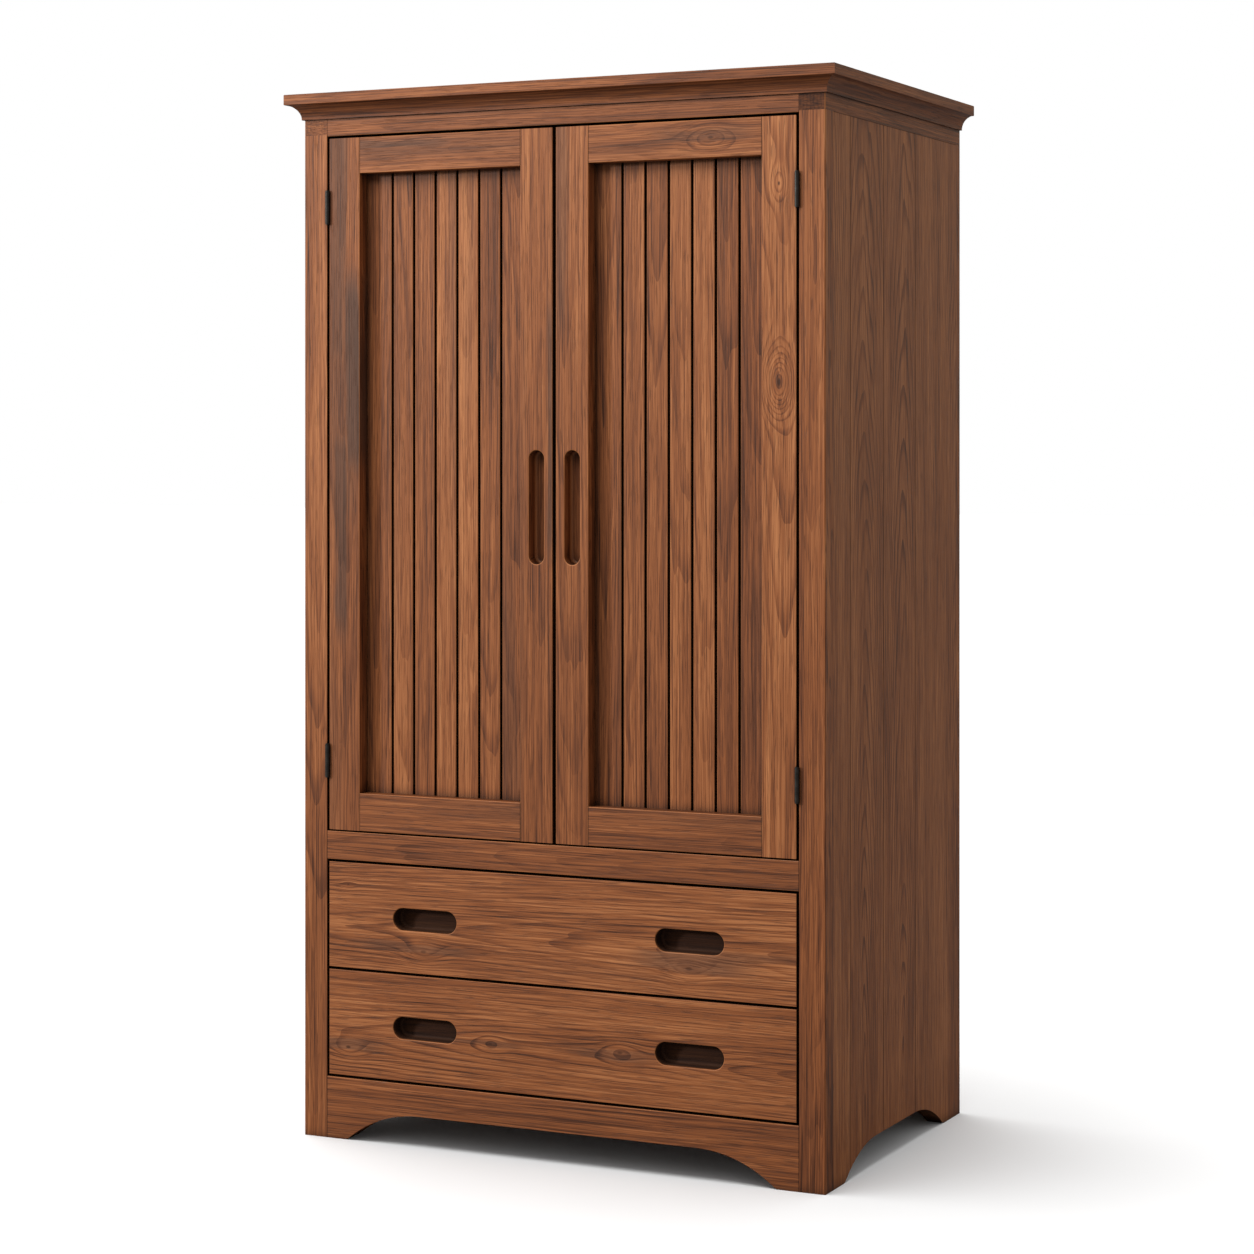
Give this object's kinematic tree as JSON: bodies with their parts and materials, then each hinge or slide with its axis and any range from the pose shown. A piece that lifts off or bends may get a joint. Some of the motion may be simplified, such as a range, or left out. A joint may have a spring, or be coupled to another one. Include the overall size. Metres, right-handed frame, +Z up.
{
  "type": "shoe cabinet",
  "caption": "Walnut shoe cabinet on bracket feet: inset slatted doors with cut-in finger pulls over shelves, drawers below, and a mitred cove cornice.",
  "frame": {"origin": "on the floor, in the middle of the cabinet's width and of its whole depth with the cornice", "axes": "+Z up, the front faces -Y, +X to the right as seen from the front"},
  "size_m": [0.698, 0.461, 1.2293],
  "materials": {
    "walnut": "satin",
    "inner_wood": "matt",
    "black_metal": "satin",
    "steel": "satin"
  },
  "bodies": {
    "carcass": {"left_side_panel": "walnut", "right_side_panel": "walnut", "left_front_post": "walnut", "right_front_post": "walnut", "left_rear_post": "walnut", "right_rear_post": "walnut", "left_frieze_rail": "walnut", "right_frieze_rail": "walnut", "top_rail": "walnut", "mid_rail": "walnut", "base_rail": "walnut", "rear_base_rail": "walnut", "rear_top_rail": "walnut", "back_panel": "inner_wood", "cupboard_floor": "walnut", "bottom_panel": "inner_wood", "shelf_1": "walnut", "shelf_2": "walnut", "shelf_3": "walnut", "shelf_4": "walnut", "shelf_pins": "steel", "cornice_front": "walnut", "cornice_left": "walnut", "cornice_right": "walnut", "top_panel": "walnut", "door_stop": "walnut", "catch_magnets": "steel", "frame_hinge_leaves": "black_metal", "frame_hinge_screws": "black_metal", "hinge_pins": "black_metal", "drawer_runners": "inner_wood", "drawer_stops": "inner_wood"},
    "left_door": {"left_door_hinge_stile": "walnut", "left_door_pull_stile": "walnut", "left_door_top_rail": "walnut", "left_door_bottom_rail": "walnut", "left_door_slats": "walnut", "left_door_backing": "walnut", "left_door_hinge_leaves": "black_metal", "left_door_hinge_screws": "black_metal", "left_door_strike": "steel"},
    "right_door": {"right_door_hinge_stile": "walnut", "right_door_pull_stile": "walnut", "right_door_top_rail": "walnut", "right_door_bottom_rail": "walnut", "right_door_slats": "walnut", "right_door_backing": "walnut", "right_door_hinge_leaves": "black_metal", "right_door_hinge_screws": "black_metal", "right_door_strike": "steel"},
    "lower_drawer": {"lower_drawer_front": "walnut", "lower_drawer_left_side": "inner_wood", "lower_drawer_right_side": "inner_wood", "lower_drawer_back": "inner_wood", "lower_drawer_bottom": "inner_wood"},
    "upper_drawer": {"upper_drawer_front": "walnut", "upper_drawer_left_side": "inner_wood", "upper_drawer_right_side": "inner_wood", "upper_drawer_back": "inner_wood", "upper_drawer_bottom": "inner_wood"}
  },
  "joints": [
    {"name": "left_door_hinge", "type": "hinge", "parent": "carcass", "child": "left_door", "pos_m": [-0.2984, -0.2147, 0.7701], "axis": [0, 0, -1], "range_deg": [0, 170]},
    {"name": "right_door_hinge", "type": "hinge", "parent": "carcass", "child": "right_door", "pos_m": [0.2984, -0.2147, 0.7701], "axis": [0, 0, 1], "range_deg": [0, 170]},
    {"name": "upper_drawer_slide", "type": "slide", "parent": "carcass", "child": "upper_drawer", "axis": [0, -1, 0], "range_m": [0, 0.28]},
    {"name": "lower_drawer_slide", "type": "slide", "parent": "carcass", "child": "lower_drawer", "axis": [0, -1, 0], "range_m": [0, 0.28]}
  ]
}
